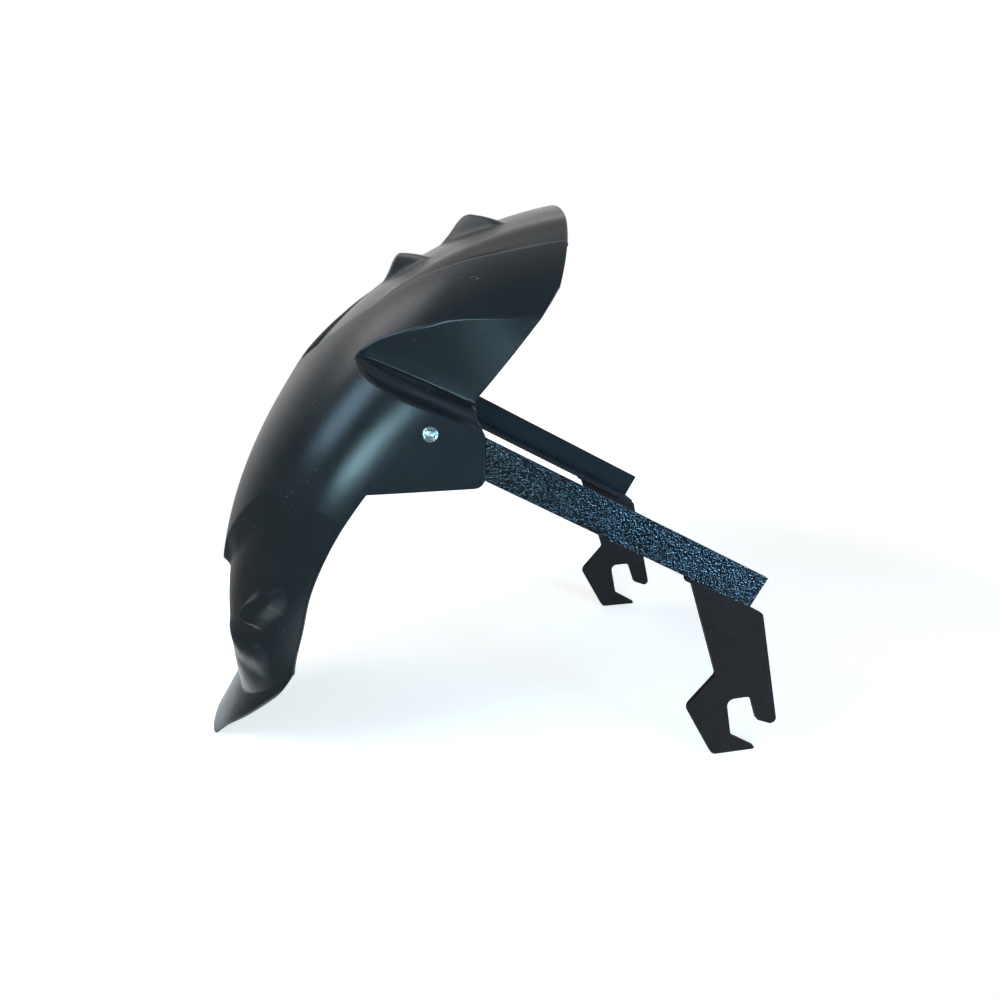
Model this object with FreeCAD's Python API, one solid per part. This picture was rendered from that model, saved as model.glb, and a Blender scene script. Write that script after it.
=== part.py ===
import FreeCAD, Part
import math
import os
from FreeCAD import Vector

os.makedirs("parts", exist_ok=True)

# All sizes are in millimetres and angles in degrees.
# The axle line is the Y axis, the front is +X and the right-hand side is -Y.

# The shell's crown is an arc about a centre behind and above the axle
crown_centre_x = -49.0
crown_centre_z = 38.0
crown_radius = 280.5
wall = 3.0
skirt_depth = 160.0
tail_closing = 70.0
tail_tilts = [(50.0, 0.0), (32.0, 0.0), (19.0, 0.2), (6.0, 0.6)]

# Half width, depth and squareness of the arched section: tail, middle and front
half_width_tail = 95.0
half_width = 115.0
arch_depth_ends = 80.0
arch_depth = 60.0
arch_power_ends = 2.0
arch_power = 2.5
tail_angle = -7.3
middle_start = 38.0
middle_end = 52.0
front_angle = 80.0

# The body under the hood steps in, then flares from a crease to the tail lip
step_in = 5.0
step_side = 1.5
crease_slope = 43.0
crease_depth = 110.0
flare_out = 25.0
flare_down = 37.0
flare_narrowing = [(0.6, 0.845), (1.0, 0.615), (1.25, 0.425)]
floor_z = -30.0

# Edge of the hood in the side view: angle and depth under the crown
hood_edge = [(10.3, 0.0), (15.8, 5.1), (19.8, 9.4), (25.8, 16.2), (28.0, 24.6), (28.8, 37.5), (29.5, 61.1)]

# Panel let into the crown in front of a low brow: angle, half width and depth along its edge
brow_angle = 38.0
brow_rise = 1.5
panel_edge = [(40.0, 1.0, 2.8), (43.0, 26.0, 2.8), (47.0, 42.0, 2.6), (53.0, 57.0, 2.0),
              (60.0, 66.0, 1.6), (67.0, 74.0, 1.4), (75.0, 78.0, 1.3), (92.0, 80.0, 1.2)]

# Centre of the screw that holds each flange to its arm
fixing_x = -197.0
fixing_z = 195.0

# Front edge by angle and depth under the crown, then flange, skirt and tail in the side view
front_top = 78.5
front_low = (71.4, 39.0)
notch = (fixing_x + 26.0, fixing_z + 13.0)
notch_drop = 15.0
flange_front_x = fixing_x + 29.0
flange_low_z = fixing_z - 31.5
flange_rear_x = fixing_x - 34.0
flange_corner = 6.0
skirt_radius = 284.0
skirt_end_angle = 8.7
tail_corner_in = 4.6
tail_bow = [(0.12, 0.18), (0.31, 0.38), (0.63, 0.63), (0.85, 0.82)]

# Scoop pressed into each side panel, its tip by angle and depth under the crown
scoop_tip = (47.0, 13.8)
scoop_length = 150.0
scoop_rise = 18.5
scoop_tip_y = half_width - 31.0
scoop_slope = 0.28
scoop_waist = (58.5, 26.0)
scoop_drop = 75.0
scoop_ledge_drop = 13.0

# Arrowhead fins on the crown: angle of the rear point, angle they run through and height
fins = [(54.2, 6.6, 9.5), (62.2, 8.2, 10.5)]
fin_half_width = 34.0
fin_ridge = 0.42

# Arms of angle steel, each with a laser-cut hook plate welded under its front end
steel = 3.0
arm_face_y = half_width - wall
arm_width = 21.0
arm_leg = 20.0
arm_slope = 28.9
arm_ahead = 228.0
arm_behind = 12.0
arm_chamfer = 6.0

# Hook plate, from the axle: x, z and corner radius
hook_rear_x = -43.5
hook_waist = (-20.4, 30.0, 3.5)
hook_heel = (-39.0, 8.5, 6.0)
hook_low_corner = (-17.5, floor_z, 5.0)
hook_low_tip = (15.5, floor_z, 1.2)
slot_low = (-5.5, -16.8, 3.0)
slot_top_rear = (-11.3, 10.5, 4.5)
slot_top_front = (5.5, 11.0, 4.5)
slot_mouth = (12.0, -7.5, 3.0)
prong_tip = (27.5, -14.0, 3.5)
hook_shoulder = (7.3, 70.0, 4.0)
weld_radius = 3.0

# Fixing through the flange and the arm
thread = 5.0
clearance = 0.4
boss_diameter = 18.0
spot_face_diameter = 13.0
head_diameter = 9.5
head_height = 3.2
recess_depth = 1.6
washer_diameter = 12.0
washer_thick = 1.0
nut_flats = 8.0
nut_height = 5.0
thread_past_nut = 1.5


def ease(value, start, end):
    t = min(1.0, max(0.0, (value - start) / (end - start)))
    return t * t * (3.0 - 2.0 * t)


def outward(angle):
    return Vector(-math.cos(math.radians(angle)), 0, math.sin(math.radians(angle)))


def on_crown(angle, radius, y=0.0):
    return Vector(crown_centre_x, y, crown_centre_z) + outward(angle) * radius


def flat(x, z, y=0.0):
    """Point given in the side view."""
    return Vector(x, y, z)


def spline(points, **tangents):
    curve = Part.BSplineCurve()
    curve.interpolate(Points=points, **tangents)
    return curve.toShape()


def lines(points):
    return [Part.makeLine(a, b) for a, b in zip(points, points[1:])]


def side_prism(wire, half=300.0):
    """Prism across the whole width from an outline drawn in the side view."""
    face = Part.Face(wire)
    face.translate(Vector(0, -half, 0))
    return face.extrude(Vector(0, 2 * half, 0))


def rounded(corners, y=0.0):
    """Closed wire through (x, z, radius) corners, straight between them."""
    starts, ends, arcs = [], [], []
    count = len(corners)
    for i, (x, z, radius) in enumerate(corners):
        here = flat(x, z, y)
        back = flat(*corners[i - 1][:2], y) - here
        ahead = flat(*corners[(i + 1) % count][:2], y) - here
        back.normalize()
        ahead.normalize()
        half = back.getAngle(ahead) / 2
        middle = back + ahead
        middle.normalize()
        starts.append(here + back * (radius / math.tan(half)))
        ends.append(here + ahead * (radius / math.tan(half)))
        bulge = here + middle * (radius / math.sin(half) - radius)
        arcs.append(Part.Arc(starts[i], bulge, ends[i]).toShape() if radius else None)
    edges = []
    for i in range(count):
        if arcs[i]:
            edges.append(arcs[i])
        edges.append(Part.makeLine(ends[i], starts[(i + 1) % count]))
    return Part.Wire(edges)


def section(station, closing):
    """Closed arch section: crown point, slope of its plane, half width, depth and squareness."""
    crown, slope, half, depth, power = station
    down = Vector(math.cos(math.radians(slope)), 0, math.sin(math.radians(slope)))
    last = math.acos(max(0.0, 1.0 - 0.96 * closing / depth) ** (power / 2.0))
    count = 10
    points = []
    for i in range(-count, count + 1):
        t = abs(i) / count * last
        across = math.copysign(half * math.sin(t) ** (2.0 / power), i)
        drop = depth * (1.0 - max(0.0, math.cos(t)) ** (2.0 / power))
        points.append(crown + down * drop + Vector(0, across, 0))
    low = [crown + down * closing + Vector(0, side * points[-1].y, 0) for side in (1, -1)]
    return Part.Wire([spline(points)] + lines([points[-1], low[0], low[1], points[0]]))


def station(angle, radius, inset, side_inset=0.0, tilt=0.0):
    """Section in the plane through the crown's centre at that angle, or tilted up towards the front."""
    middle = ease(angle, tail_angle, middle_start) * (1.0 - ease(angle, middle_end, front_angle))
    half = half_width_tail + (half_width - half_width_tail) * ease(angle, tail_angle, middle_start)
    depth = arch_depth_ends + (arch_depth - arch_depth_ends) * middle
    power = arch_power_ends + (arch_power - arch_power_ends) * middle
    lean = tilt * (crease_slope + tail_angle)
    depth /= math.cos(math.radians(lean))
    crown = on_crown(angle, radius - inset)
    return crown, lean - angle, half - inset - side_inset, depth - inset, power


def body(stations, closing, ruled=False):
    return Part.makeLoft([section(item, closing) for item in stations], True, ruled)


def under_hood(shift):
    """Everything behind and below the hood's edge, which sweeps up and forward round the sides."""
    move = Vector(0.7, 0, 0.7) * shift
    points = [on_crown(angle, crown_radius - depth) + move for angle, depth in hood_edge]
    front = on_crown(hood_edge[-1][0] + 2.0, crown_radius * 0.6)
    rear = on_crown(0.0, crown_radius * 1.4)
    low = crown_centre_z - crown_radius * 0.6
    rest = [points[-1], front, flat(front.x, low), flat(rear.x, low), rear + Vector(0, 0, step_in), points[0]]
    return side_prism(Part.Wire([spline(points)] + lines(rest)))


def over_panel(inset):
    """Layer between the hood and the panel that is let into its front."""
    high = crown_radius + 4.0 * wall
    low = crown_radius - arch_depth
    wires = []
    for angle, half, depth in panel_edge:
        corners = [on_crown(angle, radius, y) for radius, y in ((high, -half), (high, half), (low, half), (low, -half))]
        wires.append(Part.makePolygon(corners + corners[:1]))
    stations = [station(angle, crown_radius - depth, inset) for angle, half, depth in panel_edge[::2] + panel_edge[-1:]]
    return Part.makeLoft(wires, True, True).cut(body(stations, skirt_depth))


def scoop(grow, side):
    """Wedge pressed into one side panel, flush at its tip and sloping out to a ledge below."""
    tip = on_crown(scoop_tip[0], crown_radius - scoop_tip[1])
    x, z = tip.x, tip.z
    top = [(0.0, 0.0), (0.09, 0.43), (0.24, 0.81), (0.41, 1.0), (1.0, 0.86)]
    upper = [(x + scoop_length * a, z + scoop_rise * b + grow) for a, b in top]
    upper[0] = (x - grow * 1.5, z + grow * 0.3)
    lower = [(x + scoop_length, z - scoop_drop - grow), (x + scoop_waist[0], z - scoop_waist[1] - grow)]
    floor = [flat(px, pz, side * (scoop_tip_y + scoop_slope * (px - x) - grow)) for px, pz in upper + lower]
    outside = [flat(px, pz, side * (half_width + 15.0)) for px, pz in upper]
    outside += [flat(px, pz - 2.0 * scoop_ledge_drop, side * (half_width + 15.0)) for px, pz in lower]
    wires = [Part.makePolygon(points + points[:1]) for points in (floor, outside)]
    return Part.makeLoft(wires, True, True)


def shell_solid(inset):
    """Solid up to the outer face, or up to the inner face when inset by the wall."""
    low_radius = crown_radius - step_in
    stations = [station(angle, crown_radius, inset) for angle in (92.0, 74.0, 56.0)]
    stations.append(station(brow_angle, crown_radius + brow_rise, inset))
    stations += [station(angle, crown_radius, inset) for angle in (20.0, 2.0)]
    hood = body(stations, skirt_depth).cut(over_panel(inset))
    upper = [station(angle, low_radius, inset, step_side, tilt) for angle, tilt in tail_tilts]
    flare = Vector(-flare_out, 0, -flare_down)
    inwards = Vector(flare_down, 0, -flare_out) * (inset / flare.Length)
    half = half_width_tail - inset - step_side
    crease = (on_crown(tail_angle, low_radius) + inwards, crease_slope, half, crease_depth, arch_power_ends)
    flap = [crease]
    for share, narrow in flare_narrowing:
        flap.append((crease[0] + flare * share, crease_slope, half * narrow, crease_depth, arch_power_ends))
    solid = hood.cut(under_hood(inset))
    solid = solid.fuse(body(upper + [crease], tail_closing)).fuse(body(flap, tail_closing, ruled=True))
    for side in (1, -1):
        solid = solid.cut(scoop(inset, side))
    return solid


def side_outline():
    """Side view of the shell: front edge, flange, skirt and tail."""
    def skirt(angle):
        return outward(angle) * skirt_radius

    flange_angle = math.degrees(math.atan2(flange_low_z, -flange_rear_x))
    start = outward(flange_angle) * math.hypot(flange_rear_x, flange_low_z)
    end = skirt(skirt_end_angle)
    brow = on_crown(front_top, crown_radius)
    low_front = on_crown(front_low[0], crown_radius - front_low[1])
    front = [
        brow + (brow - low_front) * 0.6,
        low_front,
        flat(*notch),
        flat(notch[0], notch[1] - notch_drop * 0.6),
        flat(flange_front_x, notch[1] - notch_drop),
        flat(flange_front_x, flange_low_z + flange_corner),
    ]
    bend = flange_corner * (1.0 - math.sqrt(0.5))
    turn = flat(flange_front_x - bend, flange_low_z + bend)
    low = flat(flange_front_x - flange_corner, flange_low_z)
    crease = on_crown(tail_angle, crown_radius - step_in)
    lip_x = crease.x - flare_out * (crease.z - floor_z) / flare_down
    corner = flat(lip_x + tail_corner_in, floor_z)
    tail = [end] + [end + flat((corner.x - end.x) * a, (corner.z - end.z) * b) for a, b in tail_bow]
    edges = lines(front)
    edges.append(Part.Arc(front[-1], turn, low).toShape())
    edges.append(Part.makeLine(low, start))
    edges.append(Part.Arc(start, skirt((flange_angle + skirt_end_angle) / 2), end).toShape())
    edges.append(spline(tail))
    knee = corner + flat(0.12, 0.18) * flare_out
    rear_x = crown_centre_x - crown_radius * 1.4
    edges += lines([tail[-1], knee, corner, flat(rear_x, floor_z), flat(rear_x, front[0].z), front[0]])
    return Part.Wire(edges)


def fin(start, length, height):
    """Hump that rises from a wide flush front to a ridge, then falls steeply to a point at the rear."""
    stages = [(0.0, 0.0, 0.03, 0.02), (0.16, 0.12, 0.3, 0.5), (0.34, 0.2, 0.5, 0.94), (fin_ridge, 0.24, 0.56, 1.0),
              (0.7, 0.6, 0.78, 0.52), (1.0, 0.97, 1.0, 0.02)]
    root = 7.0
    depth = arch_depth_ends
    wires = []
    for along, ridge, foot, rise in stages:
        angle = start + length * along
        spread = [-foot, -foot, -ridge, 0.0, ridge, foot, foot]
        lift = [-root, 0.0, rise * height, rise * height * 1.04, rise * height, 0.0, -root]
        points = []
        for share, up in zip(spread, lift):
            y = share * fin_half_width
            drop = depth * (1.0 - math.sqrt(1.0 - (y / half_width) ** 2))
            points.append(on_crown(angle, crown_radius - drop + up, y))
        wires.append(Part.makePolygon(points + points[:1]))
    return Part.makeLoft(wires, True, True)


def bar(radius, start, length, side):
    """Round bar on the fixing axis, from a face at start towards the outside."""
    base = Vector(fixing_x, side * start, fixing_z)
    return Part.makeCylinder(radius, length, base, Vector(0, side, 0))


def arm_point(along, across, y=0.0):
    angle = math.radians(arm_slope)
    x = fixing_x + along * math.cos(angle) + across * math.sin(angle)
    z = fixing_z - along * math.sin(angle) + across * math.cos(angle)
    return flat(x, z, y)


def make_arm(side):
    half = arm_width / 2
    inner = arm_face_y - steel
    profile = [
        (half, arm_face_y),
        (half, inner),
        (-half + steel, inner),
        (-half + steel, arm_face_y - arm_leg),
        (-half, arm_face_y - arm_leg),
        (-half, arm_face_y),
    ]
    points = [arm_point(-arm_behind, across, side * y) for across, y in profile]
    run = arm_point(arm_ahead, 0) - arm_point(-arm_behind, 0)
    solid = Part.Face(Part.makePolygon(points + points[:1])).extrude(run)
    corner = [
        arm_point(-arm_behind, half - arm_chamfer),
        arm_point(-arm_behind + arm_chamfer, half),
        arm_point(-arm_behind + arm_chamfer, half + 5.0),
        arm_point(-arm_behind - 5.0, half + 5.0),
        arm_point(-arm_behind - 5.0, half - arm_chamfer),
    ]
    solid = solid.cut(side_prism(Part.makePolygon(corner + corner[:1])))
    return solid.cut(bar(thread / 2 + clearance, inner - 1.0, steel + 2.0, side))


def hook_edge():
    """The plate's top edge, along the underside of the arm."""
    low = -arm_width / 2
    along = (hook_rear_x - arm_point(0, low).x) / math.cos(math.radians(arm_slope))
    return arm_point(along, low), arm_point(arm_ahead, low)


def make_hook(side):
    rear, end = hook_edge()
    corners = [
        (rear.x, rear.z, 0.0),
        hook_waist,
        hook_heel,
        hook_low_corner,
        hook_low_tip,
        slot_low,
        slot_top_rear,
        slot_top_front,
        slot_mouth,
        prong_tip,
        hook_shoulder,
        (end.x, end.z, 0.0),
    ]
    face_y = min(side * arm_face_y, side * (arm_face_y - steel))
    return Part.Face(rounded(corners, face_y)).extrude(Vector(0, steel, 0))


def make_weld(side, solids):
    """Bead in the inside corner between arm and plate, which runs out round the plate's rear edge."""
    rear, end = hook_edge()
    first = rear + Vector(0, side * (arm_face_y - steel), 0)
    run = end - rear
    length = run.Length - 1.5 * weld_radius
    run.normalize()
    bead = Part.makeCylinder(weld_radius, length, first, run)
    for spot in (first, first + run * length):
        bead = bead.fuse(Part.makeSphere(weld_radius, spot))
    return bead.cut(solids[0]).cut(solids[1])


def make_screw(side):
    """Pan head with a cross recess, outside the flange, and a shank through to the nut."""
    dome = head_diameter ** 2 / (8 * head_height) + head_height / 2
    base = Vector(fixing_x, side * half_width, fixing_z)
    head = bar(head_diameter / 2, half_width, head_height, side)
    ball_y = side * (half_width + head_height - dome)
    ball = Part.makeSphere(dome + head_height * 0.35, Vector(fixing_x, ball_y - side * head_height * 0.35, fixing_z))
    head = head.common(ball)
    length = half_width - arm_face_y + steel + washer_thick + nut_height + thread_past_nut
    solid = head.fuse(bar(thread / 2, half_width - length, length, side))
    for angle in (25.0, 115.0):
        slot = Part.makeBox(head_diameter * 0.55, recess_depth + 1.0, 1.1)
        slot.translate(Vector(-head_diameter * 0.275, 0, -0.55))
        slot.rotate(Vector(0, 0, 0), Vector(0, 1, 0), angle)
        depth = head_height - recess_depth if side > 0 else -head_height - 1.0
        slot.translate(base + Vector(0, depth, 0))
        solid = solid.cut(slot)
    return solid


def make_washer(side):
    start = arm_face_y - steel - washer_thick
    ring = bar(washer_diameter / 2, start, washer_thick, side)
    return ring.cut(bar(thread / 2, start - 1.0, washer_thick + 2.0, side))


def make_nut(side):
    """Hexagon lock nut with a round collar, bored to the thread."""
    top = arm_face_y - steel - washer_thick
    hexagon_height = nut_height * 0.7
    corner = nut_flats / math.sqrt(3.0)
    points = []
    for i in range(7):
        angle = math.radians(60.0 * i + 15.0)
        points.append(Vector(fixing_x + corner * math.cos(angle), side * top, fixing_z + corner * math.sin(angle)))
    solid = Part.Face(Part.makePolygon(points)).extrude(Vector(0, -side * hexagon_height, 0))
    solid = solid.fuse(bar(nut_flats * 0.44, top - nut_height, nut_height, side))
    return solid.cut(bar(thread / 2, top - nut_height - 1.0, nut_height + 2.0, side))


inside = shell_solid(wall)
shell = shell_solid(0.0).cut(inside).common(side_prism(side_outline()))
for start, length, height in fins:
    shell = shell.fuse(fin(start, length, height).cut(inside))

for side, name in ((-1, "right"), (1, "left")):
    arm = make_arm(side)
    hook = make_hook(side)
    shell = shell.fuse(bar(boss_diameter / 2, arm_face_y, half_width - arm_face_y, side))
    shell = shell.cut(bar(spot_face_diameter / 2, half_width, 10.0, side)).cut(arm)
    shell = shell.cut(bar(thread / 2 + clearance, half_width - 10.0, 20.0, side))
    pieces = {
        "arm": arm,
        "hook": hook,
        "weld": make_weld(side, (arm, hook)),
        "screw": make_screw(side),
        "washer": make_washer(side),
        "nut": make_nut(side),
    }
    for kind, solid in pieces.items():
        solid.exportStep("parts/%s_%s.step" % (kind, name))

shell.exportStep("parts/fender_shell.step")
print("shell solids", len(shell.Solids), "valid", shell.isValid(), "volume", round(shell.Volume))
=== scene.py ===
import math

import bmesh
import bpy
import numpy as np
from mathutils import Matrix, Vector


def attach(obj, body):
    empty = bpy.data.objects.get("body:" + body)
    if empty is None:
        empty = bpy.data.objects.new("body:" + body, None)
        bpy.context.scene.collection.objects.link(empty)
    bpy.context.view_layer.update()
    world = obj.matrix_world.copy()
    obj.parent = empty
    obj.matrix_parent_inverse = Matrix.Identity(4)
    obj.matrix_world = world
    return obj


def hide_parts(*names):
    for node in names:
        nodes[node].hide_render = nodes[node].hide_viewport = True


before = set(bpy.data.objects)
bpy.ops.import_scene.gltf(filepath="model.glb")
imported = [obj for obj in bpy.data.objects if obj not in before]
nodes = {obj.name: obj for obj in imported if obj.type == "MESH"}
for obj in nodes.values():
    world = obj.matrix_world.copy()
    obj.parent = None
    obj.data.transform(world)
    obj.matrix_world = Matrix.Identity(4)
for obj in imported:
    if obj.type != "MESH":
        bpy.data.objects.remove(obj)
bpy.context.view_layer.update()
scene = bpy.context.scene
print("frame loaded:", len(nodes), "nodes")

mm = 0.001


def ease(value, start, end):
    t = np.clip((value - start) / (end - start), 0.0, 1.0)
    return t * t * (3.0 - 2.0 * t)


def softMin(a, b, width):
    h = np.clip(0.5 + 0.5 * (b - a) / width, 0.0, 1.0)
    return b + (a - b) * h - width * h * (1.0 - h)


def bell(value, centre, width):
    return np.exp(-((value - centre) / width) ** 2)


# sizes in millimetres and degrees, angles run round the crown's centre from the tail to the front
shellForm = {
    "crownCentre": (-49.0, 38.0),
    "crownRadius": 280.5,
    "lowerRadius": 275.5,
    "wall": 3.0,
    "halfTail": 95.0,
    "halfMiddle": 115.0,
    "lowerInset": 1.5,
    "lowRows": 1.5,
    "tailAngle": -7.3,
    "frontAngle": 78.5,
    "creaseSlope": 43.0,
    "creaseDepth": 110.0,
    "creasePower": 2.0,
    "flare": (-25.0, -37.0),
    "flareSwing": 0.8,
    "narrowing": 36.0,
    "narrowPower": 1.8,
    "floor": -30.0,
    "rim": 0.9,
    "rimTurns": (35, 65, 90),
    "rows": 400,
    "flareRows": 36,
    "fineRows": (400, 4000),
    "columns": 150,
    "lineSteps": 700,
    "lineCrowding": 2.2,
    "insideEvening": 24,
}

# arched section: angles where it stops widening and where it closes, depth and squareness at the ends
# with their change in the middle, then the depth that is stretched to the crease's and where that ends
archForm = {
    "widen": 38.0,
    "close": (52.0, 80.0),
    "depth": (80.0, 20.0),
    "power": (2.0, 0.5),
    "plainDepth": 98.5,
    "stretchEnd": 19.0,
}

# lean of the rows to the tail and to the front: angle where it starts, run, power and most degrees
leanForm = {"back": (32.0, 39.3, 1.35, 35.7), "ahead": (46.0, 32.5, 1.3, 36.0)}

# side view of the lower edge, from the front round the flange and the skirt to the tail
edgeForm = {
    "frontTop": (-105.0, 313.0),
    "frontLow": (-126.0, 267.0),
    "notch": [(-171.0, 208.0), (-171.0, 199.0), (-168.0, 193.0)],
    "flangeCorner": (-168.0, 163.5, 6.0),
    "cornerSteps": 7,
    "flangeRear": (-231.0, 163.5),
    "skirtRadius": 284.0,
    "skirtRun": 6,
    "skirtSteps": 41,
    "skirtEnd": 8.7,
    "skirtPull": 2.2,
    "skirtDip": (15.0, 4.5),
    "tail": [
        (-288.0, 30.0), (-299.0, 15.0), (-318.0, -3.0), (-331.0, -17.0), (-337.0, -25.5), (-340.0, -30.0),
    ],
    "tailSteps": 8,
}


def smoothLine(points, steps):
    # Catmull-Rom through the points
    knots = [2 * np.array(points[0]) - np.array(points[1])] + [np.array(p) for p in points]
    knots.append(2 * knots[-1] - knots[-2])
    out = []
    for a, b, c, d in zip(knots, knots[1:], knots[2:], knots[3:]):
        square = 2 * a - 5 * b + 4 * c - d
        cube = 3 * b - a - 3 * c + d
        for t in np.arange(steps) / steps:
            out.append(0.5 * (2 * b + (c - a) * t + square * t**2 + cube * t**3))
    return out + [np.array(points[-1])]


def curve(value, places, heights, steps=10):
    line = np.array(smoothLine(list(zip(map(float, places), map(float, heights))), steps))
    return np.interp(value, line[:, 0], line[:, 1])


def sideOutline():
    f = edgeForm
    points = [np.array(f["frontLow"])] + [np.array(p) for p in f["notch"]]
    cx, cz, r = f["flangeCorner"]
    for turn in np.linspace(0, math.pi / 2, f["cornerSteps"]):
        points.append(np.array((cx - r + r * math.cos(turn), cz + r - r * math.sin(turn))))
    points.append(np.array(f["flangeRear"]))
    first = math.degrees(math.atan2(f["flangeRear"][1], -f["flangeRear"][0]))
    radius = math.hypot(*f["flangeRear"])
    for share in np.linspace(0, 1, f["skirtSteps"])[1:]:
        turn = math.radians(first + (f["skirtEnd"] - first) * share)
        r = radius + (f["skirtRadius"] - radius) * min(1.0, share * f["skirtRun"])
        r -= f["skirtPull"] * bell(math.degrees(turn), *f["skirtDip"])
        points.append(np.array((-math.cos(turn) * r, math.sin(turn) * r)))
    points += smoothLine([points[-1]] + f["tail"][:-1], f["tailSteps"])[1:]
    points.append(np.array(f["tail"][-1]))
    return np.array(points)


def archAt(angle):
    # half width, depth and squareness of the arched section
    f = shellForm
    wide = ease(angle, f["tailAngle"], archForm["widen"])
    middle = wide * (1.0 - ease(angle, *archForm["close"]))
    half = f["halfTail"] + (f["halfMiddle"] - f["halfTail"]) * wide
    depth, shallower = archForm["depth"]
    power, squarer = archForm["power"]
    return half, depth - shallower * middle, power + squarer * middle


def leanAt(angle):
    # rows lean back to the tail crease and forward to the front edge
    start, run, power, most = leanForm["back"]
    back = most * np.clip((start - angle) / run, 0.0, 1.0) ** power
    start, run, power, most = leanForm["ahead"]
    return back - most * np.clip((angle - start) / run, 0.0, 1.0) ** power


def onCrown(angle, radius):
    turn = np.radians(angle)
    cx, cz = shellForm["crownCentre"]
    return np.stack([cx - np.cos(turn) * radius, cz + np.sin(turn) * radius], -1)


def crownPolar(x, z):
    # angle round the crown's centre and distance from it
    ahead = x - shellForm["crownCentre"][0]
    up = z - shellForm["crownCentre"][1]
    return np.degrees(np.arctan2(up, -ahead)), np.hypot(ahead, up)


def rowStart(v, radius):
    # v below 1 runs up the flare, above 1 round the crown; gives start, direction and angle of a row
    f = shellForm
    v = np.asarray(v, float)
    crease = onCrown(f["tailAngle"], f["lowerRadius"])
    lip = (crease[1] - f["floor"]) / -f["flare"][1]
    share = np.clip(1.0 - v, 0.0, 1.0) * lip
    angle = f["tailAngle"] + np.clip(v - 1.0, 0.0, 1.0) * (f["frontAngle"] - f["tailAngle"])
    start = onCrown(angle, radius) + share[..., None] * np.array(f["flare"])
    swung = f["creaseSlope"] * np.clip(v, 0, 1) ** f["flareSwing"]
    slope = np.radians(np.where(v < 1.0, swung, leanAt(angle) - angle))
    return start, np.stack([np.cos(slope), np.sin(slope)], -1), angle


# a row may run along the outline, meets it past its own first bit, and finds it at the joints too
reachForm = {"parallel": 1e-9, "first": 0.4, "slack": 1e-6}


def reach(start, way, outline):
    # distance along a row to the side outline
    slack = reachForm["slack"]
    best = None
    for a, b in zip(outline, outline[1:]):
        side = b - a
        det = way[0] * -side[1] + side[0] * way[1]
        if abs(det) < reachForm["parallel"]:
            continue
        gap = a - start
        along = (gap[0] * -side[1] + side[0] * gap[1]) / det
        share = (way[0] * gap[1] - way[1] * gap[0]) / det
        met = -slack <= share <= 1 + slack and along > reachForm["first"]
        if met and (best is None or along < best):
            best = along
    return best


def rowSteps(flare, crown):
    # 0 to 1 up the flare, then 1 to 2 round the crown
    return np.concatenate([np.linspace(0, 1, flare)[:-1], 1 + np.linspace(0, 1, crown)])


def rowValues():
    # evenly spaced rows, moved a little so that one meets each corner of the outline
    f = shellForm
    v = rowSteps(f["flareRows"], f["rows"])
    fine = rowSteps(*f["fineRows"])
    start, way, _ = rowStart(fine, f["lowerRadius"])
    cx, cz, r = edgeForm["flangeCorner"]
    corners = edgeForm["notch"] + [edgeForm["flangeRear"], (cx, cz + r), (cx - r, cz)]
    for corner in corners:
        gap = np.array(corner) - start
        miss = gap[:, 0] * way[:, 1] - gap[:, 1] * way[:, 0]
        ahead = (gap * way).sum(1) > 0
        hit = np.where((miss[:-1] * miss[1:] <= 0) & ahead[:-1])[0]
        if len(hit):
            target = fine[hit[0]]
            v[np.argmin(np.abs(v - target))] = target
    return v


def arch(v, radius, inset, outline):
    # one row of the shell as a fine line from the crown to the lower edge
    f = shellForm
    start, way, angle = rowStart(v, radius)
    if v <= 0:
        length = math.hypot(*(np.array(edgeForm["tail"][-1]) - start))
    elif v >= 2:
        length = math.hypot(*(np.array(edgeForm["frontLow"]) - np.array(edgeForm["frontTop"])))
    else:
        length = reach(start, way, outline)
    along = length * np.linspace(0, 1, f["lineSteps"]) ** f["lineCrowding"]
    xz = start + along[:, None] * way
    half, depth, power = archAt(angle)
    if v < 1:
        crease = onCrown(f["tailAngle"], f["lowerRadius"])
        slope = math.radians(f["creaseSlope"])
        matrix = np.array([f["flare"], (math.cos(slope), math.sin(slope))]).T
        share, drop = np.linalg.solve(matrix, (xz - crease).T)
        narrower = f["narrowing"] * np.clip(share, 0, None) ** f["narrowPower"]
        half = f["halfTail"] - f["lowerInset"] - narrower
        depth, power = f["creaseDepth"], f["creasePower"]
    elif leanAt(angle) >= 0:
        deeper = f["creaseDepth"] / archForm["plainDepth"] - 1.0
        stretch = 1.0 + deeper * (1.0 - ease(angle, f["tailAngle"], archForm["stretchEnd"]))
        depth = depth / math.cos(math.radians(leanAt(angle))) * stretch
        drop, half = along, half - inset
    else:
        around, away = crownPolar(xz[:, 0], xz[:, 1])
        drop = radius - away
        half, depth, power = archAt(around)
    rest = np.clip(1.0 - drop / depth, 0.0, 1.0)
    y = half * np.clip(1.0 - rest**power, 0.0, 1.0) ** (1.0 / power)
    line = np.column_stack([xz[:, 0], y, xz[:, 1]])
    step = np.concatenate([[0.0], np.cumsum(np.linalg.norm(np.diff(line, axis=0), axis=1))])
    return line, step / step[-1]


def spread(row, shares):
    line, step = row
    return np.column_stack([np.interp(shares, step, line[:, k]) for k in range(3)])


# columns that follow an edge: index out of all columns, and how near the ends they may come
columnForm = {
    "marks": {
        "crease": (50, 0.10, 0.80),
        "edge": (80, 0.30, 0.94),
        "floor": (112, 0.34, 0.96),
        "rim": (128, 0.36, 0.975),
    },
    "relax": 30,
    "leastGap": 0.012,
}


def crossing(row, value):
    # share along the row where the value first turns from positive to negative
    turn = np.where((value[:-1] > 0) & (value[1:] <= 0))[0]
    if not len(turn):
        return math.nan
    i = turn[0]
    return row[1][i] + (row[1][i + 1] - row[1][i]) * value[i] / (value[i] - value[i + 1])


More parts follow.
